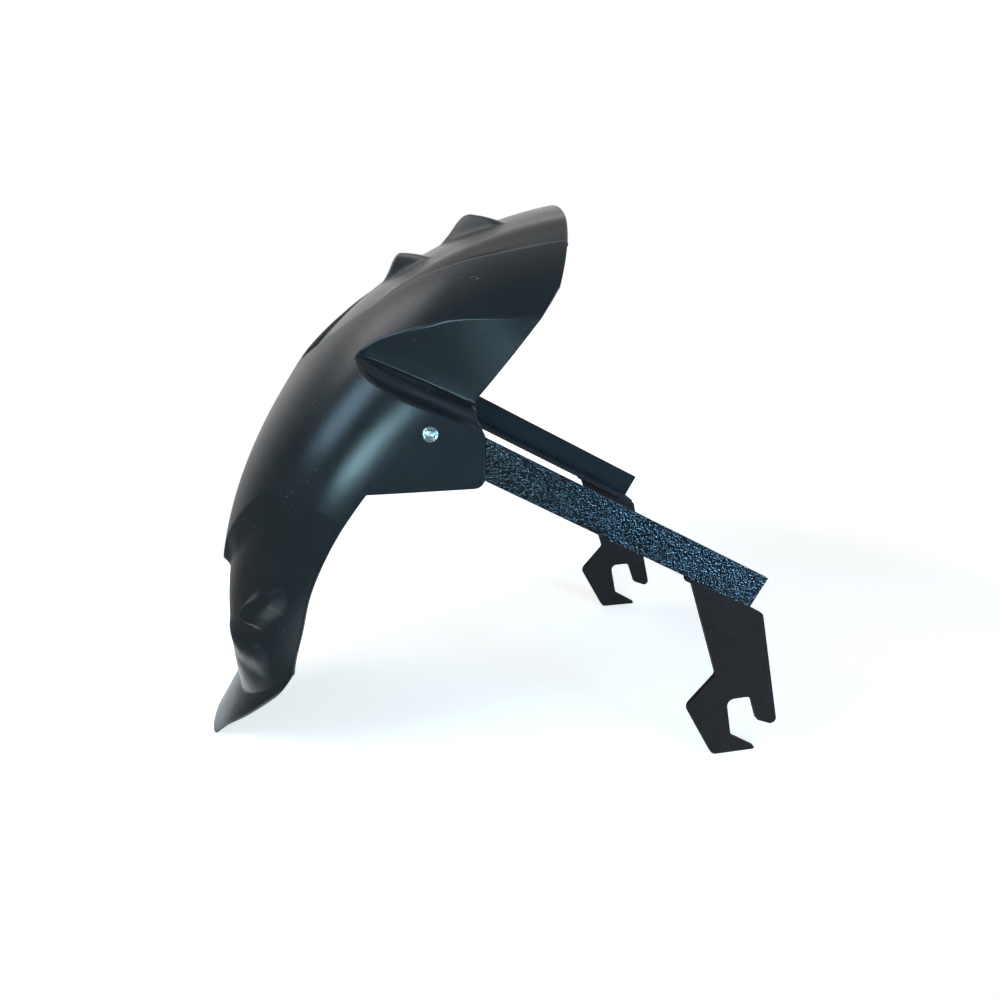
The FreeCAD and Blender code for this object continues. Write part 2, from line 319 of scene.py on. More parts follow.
def settle(raw, default, low, high, relax):
    # keeps the found shares and eases back to the even spacing before and after them
    raw = np.where((raw > low) & (raw < high), raw, math.nan)
    found = np.where(~np.isnan(raw))[0]
    first, last = found[0], found[-1]
    places = np.arange(len(raw))
    out = np.interp(places, found, raw[found])
    before = ease(places, first - relax, first)
    after = 1.0 - ease(places, last, last + relax)
    return default + (out - default) * before * after


def columnShares(rows):
    # where each column lies along each row
    total = shellForm["columns"]
    raw = {name: np.full(len(rows), math.nan) for name in columnForm["marks"]}
    for i, row in enumerate(rows):
        x, y, z = row[0].T
        angle, _ = crownPolar(x, z)
        onPanel = angle > tongueForm["angle"][0]
        raw["crease"][i] = crossing(row, np.where(onPanel, panelEdge(angle) - y, -1.0))
        dx, dz = x - scoopForm["tip"][0], z - scoopForm["tip"][1]
        upper, lower = scoopLine("upper", dx), scoopLine("lower", dx)
        ahead = dx > 0.0
        raw["edge"][i] = crossing(row, np.where(ahead, dz - upper, math.nan))
        raw["floor"][i] = crossing(row, np.where(ahead, dz - lower, math.nan))
        raw["rim"][i] = crossing(row, np.where(ahead, dz - lower + ledgeDrop(dx), math.nan))
    marks, shares = [0], [np.zeros(len(rows))]
    for name, (index, low, high) in columnForm["marks"].items():
        marks.append(index)
        share = settle(raw[name], index / total, low, high, columnForm["relax"])
        shares.append(np.maximum(share, shares[-1] + columnForm["leastGap"]))
    marks.append(total)
    shares.append(np.ones(len(rows)))
    shares = np.array(shares)
    return np.array([np.interp(np.arange(total + 1), marks, shares[:, i]) for i in range(len(rows))])


def gridNormals(grid):
    along = np.gradient(grid, axis=0)
    across = np.gradient(grid, axis=1)
    across[:, 0] = np.array((0.0, 1.0, 0.0)) * np.linalg.norm(across[:, 0], axis=1)[:, None]
    normal = np.cross(along, across)
    normal /= np.linalg.norm(normal, axis=2)[:, :, None] + 1e-12
    return normal


def evened(field, times):
    for _ in range(times):
        wide = np.pad(field, [(1, 1), (1, 1)] + [(0, 0)] * (field.ndim - 2), "edge")
        rows = wide[:-2, 1:-1] + wide[2:, 1:-1]
        field = (rows + wide[1:-1, :-2] + wide[1:-1, 2:] + 2.0 * field) / 6.0
    return field


def polar(grid):
    return crownPolar(grid[:, :, 0], grid[:, :, 2])


# edge of the hood: angle by the distance from the middle plane, and the width over which it falls
hoodForm = {
    "y": (0, 15, 30, 50, 65, 78, 90, 98, 102, 108, 116),
    "angle": (10.5, 12.2, 15.8, 19.8, 23.0, 26.0, 27.9, 28.7, 29.05, 29.3, 29.5),
    "slopeStep": 2.0,
    "slant": 0.7,
    "fallMiddle": 5.0,
    "fallSide": 17.0,
    "fallEase": (5.0, 55.0),
    "crisp": 1.12,
    "rounding": 0.25,
}


def hoodEdge(y):
    return curve(y, hoodForm["y"], hoodForm["angle"])


def hoodShare(grid):
    # 0 on the hood, 1 on the lower panel
    f = hoodForm
    angle, radius = polar(grid)
    y = np.abs(grid[:, :, 1])
    slope = (hoodEdge(y + f["slopeStep"]) - hoodEdge(y - f["slopeStep"])) / (2.0 * f["slopeStep"])
    steepness = np.radians(slope) * radius * f["slant"]
    gap = np.radians(hoodEdge(y) - angle) * radius / np.sqrt(1.0 + steepness**2)
    width = f["fallMiddle"] + (f["fallSide"] - f["fallMiddle"]) * ease(y, *f["fallEase"])
    fall = np.clip(gap / width, 0.0, 1.0)
    return np.clip(softMin(fall * f["crisp"], np.ones_like(fall), f["rounding"]), 0.0, 1.0)


# crown panel let into the front, with a brow behind it, a crease along each side and a low shoulder
tongueForm = {
    "angle": (40.0, 41.0, 43.0, 47.0, 52.7, 59.3, 66.5, 74.9, 80.0),
    "y": (0.0, 14.0, 26.0, 42.0, 57.0, 65.0, 74.0, 78.0, 79.0),
    "slant": 0.8,
    "blur": 0.7,
    "depth": 1.7,
    "depthLoss": 0.3,
    "depthEase": (45.0, 55.0),
    "brow": 1.9,
    "browLeast": 0.35,
    "browSpan": 6.0,
    "browFade": 22.0,
    "browStart": (26.0, 39.0),
    "browLoss": 0.6,
    "browEnd": (60.0, 78.0),
    "side": 2.3,
    "sideFade": 9.0,
    "sideStart": (42.0, 48.0),
    "sideLoss": 0.5,
    "sideEnd": (62.0, 78.0),
    "shoulder": 0.9,
    "shoulderPlace": (54.0, 8.0),
    "shoulderStart": (50.0, 55.0),
}


def panelEdge(angle):
    return np.interp(angle, tongueForm["angle"], tongueForm["y"])


def tongue(grid):
    # relief of the crown panel along the normal
    f = tongueForm
    angle, radius = polar(grid)
    y = np.abs(grid[:, :, 1])
    start = f["angle"][0]
    behind = np.radians(np.clip(start - angle, 0.0, 90.0)) * radius
    beside = (y - panelEdge(angle)) * f["slant"]
    out = np.where(angle < start, np.hypot(behind, y * f["slant"]), beside)
    inside = ease(-out, -f["blur"], f["blur"])
    brow = f["brow"] * (f["browLeast"] + (1.0 - f["browLeast"]) * bell(angle, start, f["browSpan"]))
    brow = brow * np.exp(-np.clip(out, 0, None) / f["browFade"])
    brow *= ease(angle, *f["browStart"]) * (1.0 - f["browLoss"] * ease(angle, *f["browEnd"]))
    middle = f["depth"] - f["depthLoss"] * ease(angle, *f["depthEase"])
    sides = f["side"] * np.exp(-np.clip(-out, 0, None) / f["sideFade"]) * ease(angle, *f["sideStart"])
    sides = sides * (1.0 - f["sideLoss"] * ease(angle, *f["sideEnd"]))
    shoulder = f["shoulder"] * bell(y, *f["shoulderPlace"]) * ease(angle, *f["shoulderStart"])
    return brow * (1.0 - inside) + (shoulder - np.maximum(middle, sides)) * inside


# two arrowhead fins on the crown: start, run and height, then share along, ridge, foot and rise
finForm = {
    "fins": [(54.2, 6.6, 9.4), (62.9, 8.0, 10.2)],
    "half": 34.0,
    "stages": [
        (0.0, 0.0, 0.03, 0.0),
        (0.25, 0.1, 0.32, 0.38),
        (0.44, 0.15, 0.5, 0.8),
        (0.55, 0.18, 0.6, 0.97),
        (0.62, 0.24, 0.66, 1.0),
        (0.8, 0.6, 0.84, 0.55),
        (1.0, 0.97, 1.0, 0.0),
    ],
    "leastFlank": 0.5,
    "crisp": 1.03,
    "rounding": 0.12,
    "evening": 4,
}


def finRise(grid):
    f = finForm
    angle, _ = polar(grid)
    y = np.abs(grid[:, :, 1])
    stages = np.array(f["stages"])
    total = np.zeros_like(angle)
    for start, run, height in f["fins"]:
        share = (angle - start) / run
        ridge, foot, rise = [np.interp(share, stages[:, 0], stages[:, k]) for k in (1, 2, 3)]
        ridge, foot = ridge * f["half"], foot * f["half"]
        fall = np.clip((foot - y) / np.maximum(foot - ridge, f["leastFlank"]), 0.0, 1.0)
        fall = softMin(fall * f["crisp"], np.ones_like(fall), f["rounding"])
        fin = np.where((share > 0) & (share < 1), rise * height * np.clip(fall, 0, 1), 0.0)
        total = np.maximum(total, fin)
    return evened(total, f["evening"])


# scoop pressed into each side panel: edges from its tip in the side view, then the ledge under it
scoopForm = {
    "tip": (-231.0, 233.0),
    "tipY": 84.0,
    "tipWall": 3.0,
    "slope": 0.28,
    "upper": [(-12.0, -9.0), (0.0, 0.0), (13.5, 8.0), (36.0, 15.0), (61.5, 18.5), (150.0, 15.9)],
    "lower": [(-12.0, 3.0), (0.0, 0.0), (58.5, -26.0), (150.0, -75.0)],
    "leastHeight": 2.0,
    "bend": 1.15,
    "mostRaised": 12.0,
    "metFrom": 1.0,
    "metWithin": 0.5,
    "trendRows": 9,
    "trend": -0.1,
    "onward": 30.0,
    "rounding": 0.4,
    "fromY": 60.0,
    "ledge": 11.8,
    "nose": 0.3,
    "taper": 22.0,
    "profile": [
        (0.0, 0.0), (0.06, 0.12), (0.22, 0.46), (0.36, 0.58),
        (0.5, 0.62), (0.64, 0.64), (0.8, 0.76), (1.0, 1.0),
    ],
}


def scoopLine(name, x):
    return curve(x, *zip(*scoopForm[name]))


def ledgeDrop(x):
    # height of the ledge, which rounds to a low nose at the tip
    f = scoopForm
    near = np.clip(1.0 - x / f["taper"], 0.0, 1.0)
    full = np.sqrt(np.clip(1.0 - near**2, 0.0, 1.0))
    return f["ledge"] * (f["nose"] + (1.0 - f["nose"]) * full)


def pressScoop(grid):
    # side panel with the scoop's floor, which meets it along the upper edge without a wall
    f = scoopForm
    body = grid[:, :, 1]
    x = grid[:, :, 0] - f["tip"][0]
    z = grid[:, :, 2] - f["tip"][1]
    upper, lower = scoopLine("upper", x), scoopLine("lower", x)
    rim = grid[:, columnForm["marks"]["edge"][0]]
    rimX = rim[:, 0] - f["tip"][0]
    miss = np.abs(rim[:, 2] - f["tip"][1] - scoopLine("upper", rimX))
    met = (rimX > f["metFrom"]) & (miss < f["metWithin"])
    order = np.argsort(rimX[met])
    ends = rimX[met][order]
    over = np.clip(rim[:, 1] - f["tipY"] - f["slope"] * rimX, 0.0, f["mostRaised"])[met][order]
    # past the last met row the floor's rise goes on falling
    back = -f["trendRows"]
    trend = (over[-1] - over[back]) / (ends[-1] - ends[back])
    onward = over[-1] + f["onward"] * min(trend, f["trend"])
    raised = np.interp(x, np.append(ends, ends[-1] + f["onward"]), np.append(over, onward))
    down = np.clip((upper - z) / np.maximum(upper - lower, f["leastHeight"]), 0.0, 1.0)
    face = f["tipY"] + f["slope"] * x + raised * (1.0 - down) ** f["bend"]
    face = softMin(body, face + f["tipWall"] * np.clip(-x, 0.0, None), f["rounding"])
    under = np.clip((lower - z) / ledgeDrop(x), 0.0, 1.0)
    face = face + (body - face) * curve(under, *zip(*f["profile"]))
    return np.where(body > f["fromY"], face, body)


# beak-shaped vent low on each side and the ledge under it, in the side view
ventForm = {
    "spine": [(-283.0, 103.0), (-293.0, 98.0), (-302.0, 88.0), (-307.0, 79.5), (-307.3, 76.0)],
    "rise": 4.4,
    "fade": (3.0, 17.0),
    "edge": (1.3, 2.2),
    "edgeEase": (88.0, 100.0),
    "top": (-287.0, -277.0),
    "low": (68.0, 77.0),
    "ledgeTop": 61.0,
    "ledgeFall": 4.0,
    "ledgeRise": 3.0,
    "ledgeFade": (6.0, 28.0),
    "ledgeEnd": (-301.0, -293.0),
    "sideStart": (20.0, 45.0),
}


def ventRise(grid):
    f = ventForm
    x, z = grid[:, :, 0], grid[:, :, 2]
    best = np.full(x.shape, np.inf)
    signed = np.zeros(x.shape)
    for a, b in zip(np.array(f["spine"]), np.array(f["spine"][1:])):
        length = np.linalg.norm(b - a)
        way = (b - a) / length
        along = np.clip((x - a[0]) * way[0] + (z - a[1]) * way[1], 0.0, length)
        gap = np.hypot(x - a[0] - way[0] * along, z - a[1] - way[1] * along)
        side = way[0] * (z - a[1]) - way[1] * (x - a[0])
        signed = np.where(gap < best, np.sign(side) * gap, signed)
        best = np.minimum(gap, best)
    wide = f["edge"][0] + f["edge"][1] * ease(z, *f["edgeEase"])
    beak = f["rise"] * ease(signed / wide, -1.0, 1.0) * (1.0 - ease(signed, *f["fade"]))
    beak *= (1.0 - ease(x, *f["top"])) * ease(z, *f["low"])
    drop = f["ledgeTop"] - z
    ledge = f["ledgeRise"] * ease(drop, 0.0, f["ledgeFall"]) * (1.0 - ease(drop, *f["ledgeFade"]))
    ledge *= 1.0 - ease(x, *f["ledgeEnd"])
    return (beak + ledge) * ease(grid[:, :, 1], *f["sideStart"])


def shapeShell():
    # outer face of the left half: hood and lower panel, then the relief and the scoop
    f = shellForm
    outline = sideOutline()
    values = rowValues()
    radii = np.where(values >= 1, f["crownRadius"], f["lowerRadius"])
    rows = [arch(v, radius, 0.0, outline) for v, radius in zip(values, radii)]
    shares = columnShares(rows)
    hood = np.array([spread(row, share) for row, share in zip(rows, shares)])
    low = hood.copy()
    for i in np.where(values < f["lowRows"])[0]:
        low[i] = spread(arch(values[i], f["lowerRadius"], f["lowerInset"], outline), shares[i])
    share = hoodShare(hood)
    share[values < 1] = 1.0
    grid = hood + (low - hood) * share[:, :, None]
    relief = tongue(grid) + finRise(grid) + ventRise(grid)
    grid = grid + gridNormals(grid) * relief[:, :, None]
    grid[:, :, 1] = pressScoop(grid)
    grid[:, 0, 1] = 0.0
    return grid


def unit(ways):
    return ways / np.linalg.norm(ways, axis=-1)[..., None]


def shellMesh(grid):
    # grid is the left half; the rim is rounded and the inside is the outer face moved in by the wall
    wall, rim = shellForm["wall"], shellForm["rim"]
    normal = unit(evened(gridNormals(grid), shellForm["insideEvening"]))
    rows, cols = grid.shape[:2]
    inside = grid - normal * wall
    inside[:, 0, 1] = 0.0
    side = unit(grid[:, -1] - grid[:, -2])
    front = unit(grid[-1] - grid[-2])
    tail = unit(grid[0] - grid[1])
    loop = [(0, j) for j in range(cols)]
    loop += [(i, cols - 1) for i in range(1, rows)]
    loop += [(rows - 1, j) for j in range(cols - 2, -1, -1)]
    out = np.zeros((len(loop), 3))
    for k, (i, j) in enumerate(loop):
        if i == 0:
            out[k] += tail[j]
        if i == rows - 1:
            out[k] += front[j]
        if j == cols - 1:
            out[k] += side[i]
    out = unit(out)
    border = tuple(np.array(loop).T)
    edge, edgeNormal = grid[border], normal[border]
    turns = [math.radians(degrees) for degrees in shellForm["rimTurns"]]
    bends = [(rim * (1.0 - math.sin(turn)), rim * (1.0 - math.cos(turn))) for turn in turns]
    rings = [edge - out * back - edgeNormal * down for back, down in bends]
    rings += [edge - out * back - edgeNormal * (wall - down) for back, down in bends[::-1]]
    grid[border] = edge - out * rim
    inside[border] = edge - out * rim - edgeNormal * wall
    return grid, inside, rings, border


def everySecond(first, last):
    # every second place, and always the last
    kept = list(range(first, last + 1, 2))
    return kept if kept[-1] == last else kept + [last]


def strip(fine, coarse, flip):
    # triangles between two lists of (position, vertex) along the same edge
    faces = []
    i = k = 0
    while i < len(fine) - 1 or k < len(coarse) - 1:
        if k == len(coarse) - 1 or (i < len(fine) - 1 and fine[i + 1][0] <= coarse[k + 1][0]):
            face = [fine[i][1], fine[i + 1][1], coarse[k][1]]
            i += 1
        else:
            face = [fine[i][1], coarse[k + 1][1], coarse[k][1]]
            k += 1
        faces.append(face[::-1] if flip else face)
    return faces


def innerFaces(index):
    # every second row and column inside, with a strip of triangles at the fine rim
    rows, cols = index.shape
    keptRows, keptCols = everySecond(1, rows - 2), everySecond(0, cols - 2)
    faces = []
    for i, up in zip(keptRows, keptRows[1:]):
        for j, on in zip(keptCols, keptCols[1:]):
            faces.append([index[i, j], index[up, j], index[up, on], index[i, on]])
    for edge, kept, flip in ((0, keptRows[0], True), (rows - 1, keptRows[-1], False)):
        fine = [(j, index[edge, j]) for j in range(cols)]
        faces += strip(fine, [(j, index[kept, j]) for j in keptCols], flip)
    fine = [(i, index[i, cols - 1]) for i in range(rows)]
    faces += strip(fine, [(i, index[i, keptCols[-1]]) for i in keptRows], True)
    return faces


def dropLoose(mesh):
    work = bmesh.new()
    work.from_mesh(mesh)
    bmesh.ops.delete(work, geom=[v for v in work.verts if not v.link_faces], context="VERTS")
    work.to_mesh(mesh)
    work.free()


def newPiece(name, points, faces):
    mesh = bpy.data.meshes.new(name)
    mesh.from_pydata(points.tolist(), [], faces)
    piece = bpy.data.objects.new(name, mesh)
    scene.collection.objects.link(piece)
    dropLoose(mesh)
    mesh.polygons.foreach_set("use_smooth", np.ones(len(mesh.polygons), bool))
    return piece


def buildShell(name, side):
    grid, inside, rings, border = shellMesh(shellGrid.copy())
    rows, cols = grid.shape[:2]
    count = rows * cols
    outer = np.arange(count).reshape(rows, cols)
    faces = np.stack([outer[:-1, :-1], outer[:-1, 1:], outer[1:, 1:], outer[1:, :-1]], -1)
    faces = faces.reshape(-1, 4).tolist()
    verts, loops = [grid.reshape(-1, 3)], [outer[border]]
    for ring in rings:
        ring[0, 1] = ring[-1, 1] = 0.0
        verts.append(ring)
        loops.append(np.arange(count, count + len(ring)))
        count += len(ring)
    inner = np.arange(count, count + rows * cols).reshape(rows, cols)
    verts.append(inside.reshape(-1, 3))
    loops.append(inner[border])
    for lower, upper in zip(loops, loops[1:]):
        faces += np.stack([lower[:-1], upper[:-1], upper[1:], lower[1:]], -1).tolist()
    faces += innerFaces(inner)
    points = np.concatenate(verts) * mm
    points[:, 2] = np.maximum(points[:, 2], shellForm["floor"] * mm)
    points[:, 1] *= side
    if side < 0:
        faces = [face[::-1] for face in faces]
    return newPiece(name, points, faces)


shellGrid = shapeShell()
print("shell grid", shellGrid.shape)
shellPieces = [buildShell("shell_right", -1), buildShell("shell_left", 1)]
for piece in shellPieces:
    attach(piece, "root")
    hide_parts("fender_shell")
    print(piece.name, len(piece.data.polygons), "faces")


# screws with a rim and a dish: radius and height over the flange, from the face's middle to the shank's end
screwForm = {
    "centre": (-197.0, 115.0, 195.0),
    "turns": 56,
    "profile": [
        (0.7, 1.3), (0.9, 1.45), (1.0, 2.35), (1.3, 2.5), (2.0, 2.35), (2.5, 1.95), (2.75, 1.7), (2.95, 1.72),
        (3.15, 2.0), (3.4, 2.25), (3.7, 2.25), (3.95, 2.05), (4.15, 1.6), (4.2, 1.0), (4.2, 0.05), (2.5, 0.0),
        (2.5, -12.5), (2.0, -13.0),
    ],
}


def buildScrew(name, side):
    f = screwForm
    turns = np.linspace(0, 2 * math.pi, f["turns"], endpoint=False)
    cx, cy, cz = f["centre"]
    points = [(cx, side * (cy + f["profile"][0][1]), cz)]
    for radius, height in f["profile"]:
        y = side * (cy + height)
        points += [(cx + radius * math.cos(turn), y, cz + radius * math.sin(turn)) for turn in turns]
    points.append((cx, side * (cy + f["profile"][-1][1]), cz))
    count, last = f["turns"], len(points) - 1
    faces = []
    for k in range(count):
        n = (k + 1) % count
        faces.append((0, 1 + k, 1 + n))
        for ring in range(len(f["profile"]) - 1):
            near, far = 1 + ring * count, 1 + (ring + 1) * count
            faces.append((near + k, far + k, far + n, near + n))
        faces.append((last, last - count + n, last - count + k))
    if side > 0:
        faces = [face[::-1] for face in faces]
    return newPiece(name, np.array(points) * mm, faces)


screwPieces = {
    "screw_right": buildScrew("screw_face_right", -1),
    "screw_left": buildScrew("screw_face_left", 1),
}
for name, piece in screwPieces.items():
    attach(piece, "root")
    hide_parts(name)
print("screws built")


def addNode(tree, kind, values=None, **settings):
    node = tree.nodes.new(kind)
    for key, value in settings.items():
        setattr(node, key, value)
    for key, value in (values or {}).items():
        if isinstance(value, bpy.types.NodeSocket):
            tree.links.new(value, node.inputs[key])
        else:
            node.inputs[key].default_value = value
    return node


def mathNode(tree, operation, *values, **settings):
    node = addNode(tree, "ShaderNodeMath", dict(enumerate(values)), operation=operation, **settings)
    return node.outputs[0]


def noiseNode(tree, place, scale, **values):
    return addNode(tree, "ShaderNodeTexNoise", {"Vector": place, "Scale": scale, **values}).outputs[0]


def rangeNode(tree, value, source, target=(0.0, 1.0)):
    # takes the span of the source to the span of the target
    labels = ("Value", "From Min", "From Max", "To Min", "To Max")
    return addNode(tree, "ShaderNodeMapRange", dict(zip(labels, (value, *source, *target)))).outputs[0]


def mixNode(tree, share, first, second):
    return addNode(tree, "ShaderNodeMix", {0: share, 6: first, 7: second}, data_type="RGBA").outputs[2]


def bumpNode(tree, strength, depth, height):
    return addNode(tree, "ShaderNodeBump", {"Strength": strength, "Distance": depth, "Height": height})


def newGroup(name, inputs, outputs):
    tree = bpy.data.node_groups.new(name, "ShaderNodeTree")
    for label, value in inputs.items():
        kind = "NodeSocketFloat" if isinstance(value, float) else "NodeSocketColor"
        tree.interface.new_socket(label, in_out="INPUT", socket_type=kind).default_value = value
    for label, kind in outputs.items():
        tree.interface.new_socket(label, in_out="OUTPUT", socket_type=kind)
    return tree, addNode(tree, "NodeGroupInput").outputs, addNode(tree, "NodeGroupOutput").inputs


# inputs of the finish group, then how its patches and scuffs are cut out of noise
finishInputs = {
    "Base": (0.01, 0.01, 0.01, 1),
    "Second": (0.02, 0.02, 0.02, 1),
    "Worn": (0.1, 0.1, 0.1, 1),
    "Smooth": 0.3,
    "Rough": 0.45,
    "Patch Scale": 20.0,
    "Grain Scale": 2000.0,
    "Scuff Scale": 60.0,
    "Scuffs": 0.5,
}
scuffForm = {
    "turn": (0.5, 0.9, 0.2),
    "stretch": (1.0, 14.0, 14.0),
    "thin": (0.69, 0.76),
    "where": (0.5, 0.66),
    "patch": (0.3, 0.7),
    "dull": 0.2,
    "dent": -0.8,
}


def finishGroup():
    # tone, gloss and fine grain that vary over a surface, with thin scuff marks
    f = scuffForm
    outputs = {"Color": "NodeSocketColor", "Roughness": "NodeSocketFloat", "Height": "NodeSocketFloat"}
    tree, given, result = newGroup("surface_finish", finishInputs, outputs)
    place = addNode(tree, "ShaderNodeTexCoord").outputs["Object"]
    patch = noiseNode(tree, place, given["Patch Scale"], Detail=5.0, Roughness=0.6)
    grain = noiseNode(tree, place, given["Grain Scale"], Detail=2.0)
    mapping = {"Vector": place, "Rotation": f["turn"], "Scale": f["stretch"]}
    turned = addNode(tree, "ShaderNodeMapping", mapping).outputs[0]
    streak = noiseNode(tree, turned, given["Scuff Scale"], Detail=2.0)
    thin = rangeNode(tree, streak, f["thin"])
    some = rangeNode(tree, patch, f["where"], (0.0, given["Scuffs"]))
    scuff = mathNode(tree, "MULTIPLY", thin, some)
    tone = mixNode(tree, patch, given["Base"], given["Second"])
    colour = mixNode(tree, scuff, tone, given["Worn"])
    gloss = rangeNode(tree, patch, f["patch"], (given["Smooth"], given["Rough"]))
    dull = mathNode(tree, "MULTIPLY_ADD", scuff, f["dull"], gloss)
    height = mathNode(tree, "MULTIPLY_ADD", scuff, f["dent"], grain)
    for label, socket in (("Color", colour), ("Roughness", dull), ("Height", height)):
        tree.links.new(socket, result[label])
    return tree


def pebbleGroup():
    # rounded pebbles of a thick textured paint
    inputs = {"Scale": 500.0, "Wobble": 0.3}
    tree, given, result = newGroup("pebbled_paint", inputs, {"Height": "NodeSocketFloat"})
    place = addNode(tree, "ShaderNodeTexCoord").outputs["Object"]
    values = {"Vector": place, "Scale": given["Scale"], "Smoothness": 0.6}
    cells = addNode(tree, "ShaderNodeTexVoronoi", values, feature="SMOOTH_F1").outputs[0]
    wave = noiseNode(tree, place, given["Scale"], Detail=1.0)
    height = mathNode(tree, "MULTIPLY_ADD", wave, given["Wobble"], cells)
    tree.links.new(height, result["Height"])
    return tree


# spans of the gloss: place along the arm, and place across times the way that a face looks
glossForm = {"length": (-0.17, -0.05), "outward": (0.03, 0.08)}


def glossGroup():
    # glossy on the faces turned away from the middle plane, duller towards the shell
    inputs = {"Shell End": 0.5, "Hook End": 0.2, "Inner": 0.8}
    tree, given, result = newGroup("outer_gloss", inputs, {"Roughness": "NodeSocketFloat"})
    coord = addNode(tree, "ShaderNodeTexCoord").outputs
    place = addNode(tree, "ShaderNodeSeparateXYZ", {0: coord["Object"]}).outputs
    facing = addNode(tree, "ShaderNodeSeparateXYZ", {0: coord["Normal"]}).outputs
    outward = mathNode(tree, "MULTIPLY", place["Y"], facing["Y"])
    length = rangeNode(tree, place["X"], glossForm["length"], (given["Shell End"], given["Hook End"]))
    rough = rangeNode(tree, outward, glossForm["outward"], (given["Inner"], length))
    tree.links.new(rough, result["Roughness"])
    return tree


surfaceFinish, pebbledPaint, outerGloss = finishGroup(), pebbleGroup(), glossGroup()


# strength of the fine grain and of the pebbles
bumpForm = {"grain": 0.5, "pebble": 1.0}


def newFinish(name, look, grainDepth, pebble=None, gloss=None, **constants):
    # look, pebble and gloss hold the inputs of the groups, constants go straight on the shader
    material = bpy.data.materials.new(name)
    material.use_nodes = True
    tree = material.node_tree
    shader = tree.nodes["Principled BSDF"]
    for label, value in constants.items():
        shader.inputs[label].default_value = value
    detail = addNode(tree, "ShaderNodeGroup", look, node_tree=surfaceFinish).outputs
    rough = detail["Roughness"]
    if gloss:
        rough = addNode(tree, "ShaderNodeGroup", gloss, node_tree=outerGloss).outputs["Roughness"]
    bump = bumpNode(tree, bumpForm["grain"], grainDepth, detail["Height"])
    if pebble:
        cells = addNode(tree, "ShaderNodeGroup", pebble["cells"], node_tree=pebbledPaint).outputs["Height"]
        coarse = bumpNode(tree, bumpForm["pebble"], pebble["depth"], cells)
        tree.links.new(coarse.outputs[0], bump.inputs["Normal"])
    tree.links.new(detail["Color"], shader.inputs["Base Color"])
    tree.links.new(rough, shader.inputs["Roughness"])
    tree.links.new(bump.outputs[0], shader.inputs["Normal"])
    return material


plasticLook = {
    "Base": (0.0084, 0.0082, 0.0084, 1),
    "Second": (0.015, 0.0148, 0.015, 1),
    "Worn": (0.11, 0.12, 0.13, 1),
    "Smooth": 0.21,
    "Rough": 0.27,
    "Patch Scale": 28.0,
    "Grain Scale": 2600.0,
    "Scuff Scale": 45.0,
    "Scuffs": 0.7,
}
plastic = newFinish("moulded_black_plastic", plasticLook, grainDepth=0.00012, **{"Specular IOR Level": 0.17})

# the arms' roughness comes from their gloss
armLook = {
    "Base": (0.003, 0.0026, 0.0026, 1),
    "Second": (0.006, 0.0052, 0.0052, 1),
    "Worn": (0.06, 0.06, 0.06, 1),
    "Patch Scale": 60.0,
    "Grain Scale": 2200.0,
    "Scuff Scale": 70.0,
    "Scuffs": 0.3,
}
armPebble = {"cells": {"Scale": 950.0, "Wobble": 0.5}, "depth": 0.0003}
armGloss = {"Shell End": 0.2, "Hook End": 0.15, "Inner": 0.9}
armFinish = newFinish(
    "pebbled_black_paint",
    armLook,
    grainDepth=0.00006,
    pebble=armPebble,
    gloss=armGloss,
    **{"Specular IOR Level": 0.3},
)

hookLook = {
    "Base": (0.0125, 0.0072, 0.0056, 1),
    "Second": (0.02, 0.0118, 0.0092, 1),
    "Worn": (0.09, 0.08, 0.07, 1),
    "Smooth": 0.36,
    "Rough": 0.5,
    "Patch Scale": 70.0,
    "Grain Scale": 2400.0,
    "Scuff Scale": 80.0,
    "Scuffs": 0.4,
}
hookPebble = {"cells": {"Scale": 900.0, "Wobble": 0.8}, "depth": 0.0003}
hookFinish = newFinish(
    "satin_black_paint",
    hookLook,
    grainDepth=0.0001,
    pebble=hookPebble,
    **{"Specular IOR Level": 0.02},
)

zincLook = {
    "Base": (0.34, 0.37, 0.39, 1),
    "Second": (0.48, 0.5, 0.52, 1),
    "Worn": (0.7, 0.72, 0.74, 1),
    "Smooth": 0.2,
    "Rough": 0.36,
    "Patch Scale": 300.0,
    "Grain Scale": 3500.0,
    "Scuff Scale": 200.0,
    "Scuffs": 0.6,
}
zinc = newFinish("bright_zinc", zincLook, grainDepth=0.00005, Metallic=1.0)

bevelForm = {"width": 0.45, "segments": 2, "angle": 35}
finishes = {"fender": plastic, "arm": armFinish, "hook": hookFinish, "weld": hookFinish}
for piece in shellPieces:
    piece.data.materials.append(plastic)
for piece in screwPieces.values():
    piece.data.materials.append(zinc)
for name, node in nodes.items():
    kind = name.split("_")[0]
    for slot in node.material_slots:
        slot.material = finishes.get(kind, zinc)
    if kind in ("arm", "hook"):
        soft = node.modifiers.new("soft_edges", "BEVEL")
        soft.width, soft.segments = bevelForm["width"] * mm, bevelForm["segments"]
        soft.limit_method, soft.angle_limit = "ANGLE", math.radians(bevelForm["angle"])
print("materials assigned")

# pale sheet under the object, which ends just in front of it
floorForm = {
    "x": (-0.37, 3.0),
    "y": (-0.21, 4.0),
    "height": -30.1 * mm,
    "glow": (0.64, 1.0),
    "fade": (0.35, 0.8),
    "colour": (0.8, 0.73, 0.67, 1),
}
floorMesh = bpy.data.meshes.new("floor")
corners = [(x, y, floorForm["height"]) for y in floorForm["y"] for x in floorForm["x"]]
floorMesh.from_pydata(corners, [], [(0, 1, 3, 2)])
floor = bpy.data.objects.new("floor", floorMesh)
scene.collection.objects.link(floor)


def seenRays(tree):
    # one for every ray that shows the white surroundings: seen directly, mirrored or through something clear
    rays = addNode(tree, "ShaderNodeLightPath").outputs
    first = mathNode(tree, "ADD", rays["Is Camera Ray"], rays["Is Glossy Ray"])
    return mathNode(tree, "ADD", first, rays["Is Transmission Ray"], use_clamp=True)


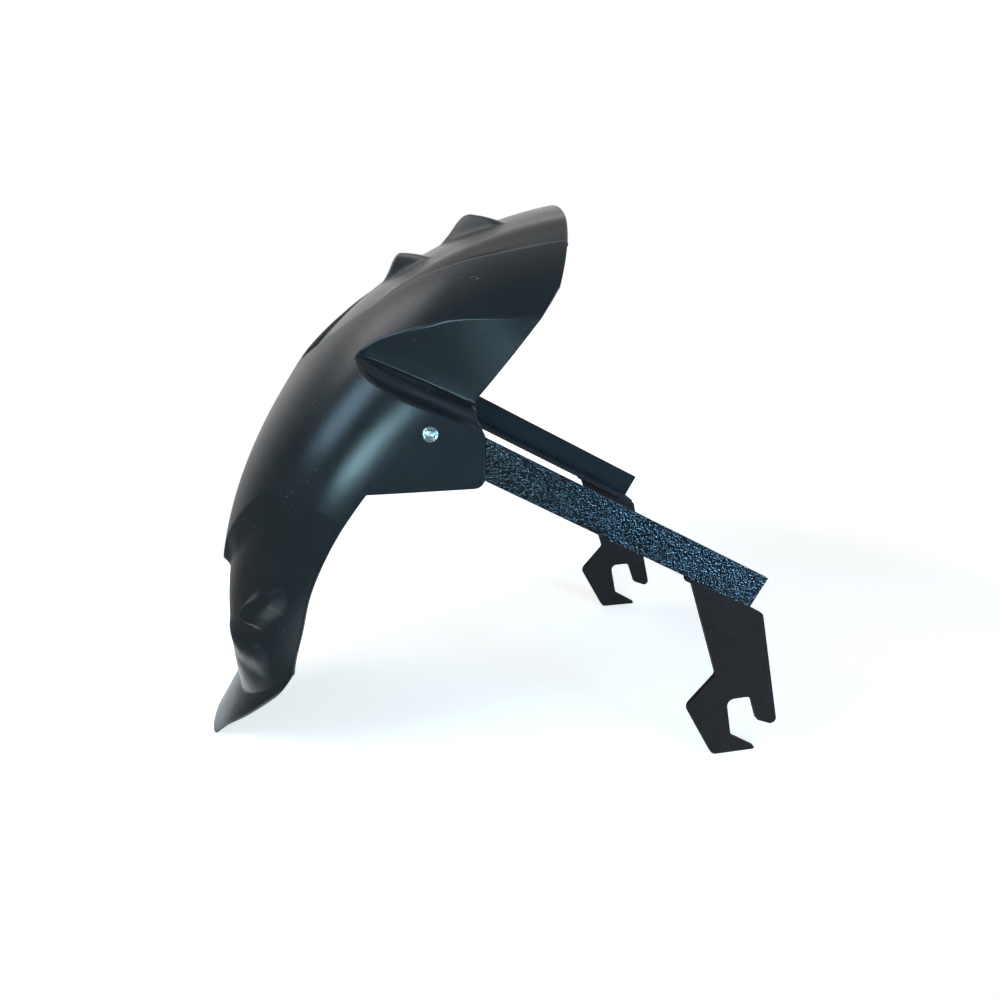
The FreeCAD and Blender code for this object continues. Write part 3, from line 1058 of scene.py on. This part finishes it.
def floorFinish():
    # pale floor that brightens to white away from the object and keeps its shadow
    material = bpy.data.materials.new("pale_floor")
    material.use_nodes = True
    tree = material.node_tree
    tree.nodes.remove(tree.nodes["Principled BSDF"])
    place = addNode(tree, "ShaderNodeTexCoord").outputs["Object"]
    away = addNode(tree, "ShaderNodeVectorMath", {0: place}, operation="LENGTH").outputs["Value"]
    glow = rangeNode(tree, away, floorForm["fade"], floorForm["glow"])
    shown = mathNode(tree, "MULTIPLY", glow, seenRays(tree))
    matt = addNode(tree, "ShaderNodeBsdfDiffuse", {"Color": floorForm["colour"]}).outputs[0]
    light = addNode(tree, "ShaderNodeEmission", {"Strength": shown}).outputs[0]
    both = addNode(tree, "ShaderNodeAddShader", {0: matt, 1: light}).outputs[0]
    tree.links.new(both, tree.nodes["Material Output"].inputs["Surface"])
    return material


floorMesh.materials.append(floorFinish())

# white backdrop behind and above, which mirrored rays see too, and a darker room in front
roomForm = {
    "towards": (0.35, 0.8, 0.48),
    "turn": (0.2, 0.9),
    "level": (0.1, 1.0),
    "soft": 0.22,
    "tint": (0.92, 0.96, 1.0, 1),
}


def studioWorld():
    world = bpy.data.worlds.new("studio")
    world.use_nodes = True
    tree = world.node_tree
    dim = tree.nodes["Background"]
    dim.inputs["Color"].default_value = roomForm["tint"]
    dim.inputs["Strength"].default_value = roomForm["soft"]
    values = {0: addNode(tree, "ShaderNodeTexCoord").outputs["Generated"], 1: roomForm["towards"]}
    behind = addNode(tree, "ShaderNodeVectorMath", values, operation="DOT_PRODUCT").outputs["Value"]
    level = rangeNode(tree, behind, roomForm["turn"], roomForm["level"])
    direct = addNode(tree, "ShaderNodeLightPath").outputs["Is Camera Ray"]
    bright = mathNode(tree, "MAXIMUM", level, direct)
    white = addNode(tree, "ShaderNodeBackground", {"Color": (1, 1, 1, 1), "Strength": bright})
    either = addNode(tree, "ShaderNodeMixShader", {0: seenRays(tree), 1: dim.outputs[0], 2: white.outputs[0]})
    tree.links.new(either.outputs[0], tree.nodes["World Output"].inputs["Surface"])
    return world


scene.world = studioWorld()

# soft panels: place, aim, size, power, colour and beam in degrees
panels = {
    "left_panel": ((-1.14, -0.39, 0.85), (-0.22, -0.06, 0.17), (0.55, 0.6), 14.5, (0.48, 0.76, 1.0), 180),
    "top_panel": ((-0.9, 0.5, 1.1), (-0.2, -0.03, 0.22), (0.7, 0.6), 4.2, (1.0, 0.99, 0.98), 180),
    "right_panel": ((0.58, -0.9, 0.1), (0.05, -0.1, 0.06), (0.32, 0.24), 1.8, (0.2, 0.58, 1.0), 45),
    "front_panel": ((-0.3, -1.6, 0.9), (-0.15, 0.0, 0.12), (1.2, 0.8), 3.2, (0.75, 0.9, 1.0), 180),
    "low_panel": ((-0.62, -1.25, 0.16), (-0.2, -0.1, 0.24), (0.5, 0.3), 3.3, (0.5, 0.86, 1.0), 70),
}
for name, (place, aim, size, power, colour, beam) in panels.items():
    data = bpy.data.lights.new(name, "AREA")
    data.shape = "RECTANGLE"
    data.size, data.size_y = size
    data.energy, data.color, data.spread = power, colour, math.radians(beam)
    lamp = bpy.data.objects.new(name, data)
    lamp.location = place
    lamp.rotation_euler = (Vector(aim) - Vector(place)).to_track_quat("-Z", "Y").to_euler()
    lamp.visible_camera = False
    scene.collection.objects.link(lamp)

viewForm = {
    "lens": 27.0,
    "sensor": 36.0,
    "place": (-0.2365, -0.4912, 0.2845),
    "tilt": 90 - 18.415,
    "turn": -11.452,
}
camData = bpy.data.cameras.new("view")
camData.lens, camData.sensor_width = viewForm["lens"], viewForm["sensor"]
camera = bpy.data.objects.new("view", camData)
camera.location = viewForm["place"]
camera.rotation_euler = (math.radians(viewForm["tilt"]), 0, math.radians(viewForm["turn"]))
scene.collection.objects.link(camera)
scene.camera = camera
scene.view_settings.view_transform = "Standard"
print("stage, light and camera set")
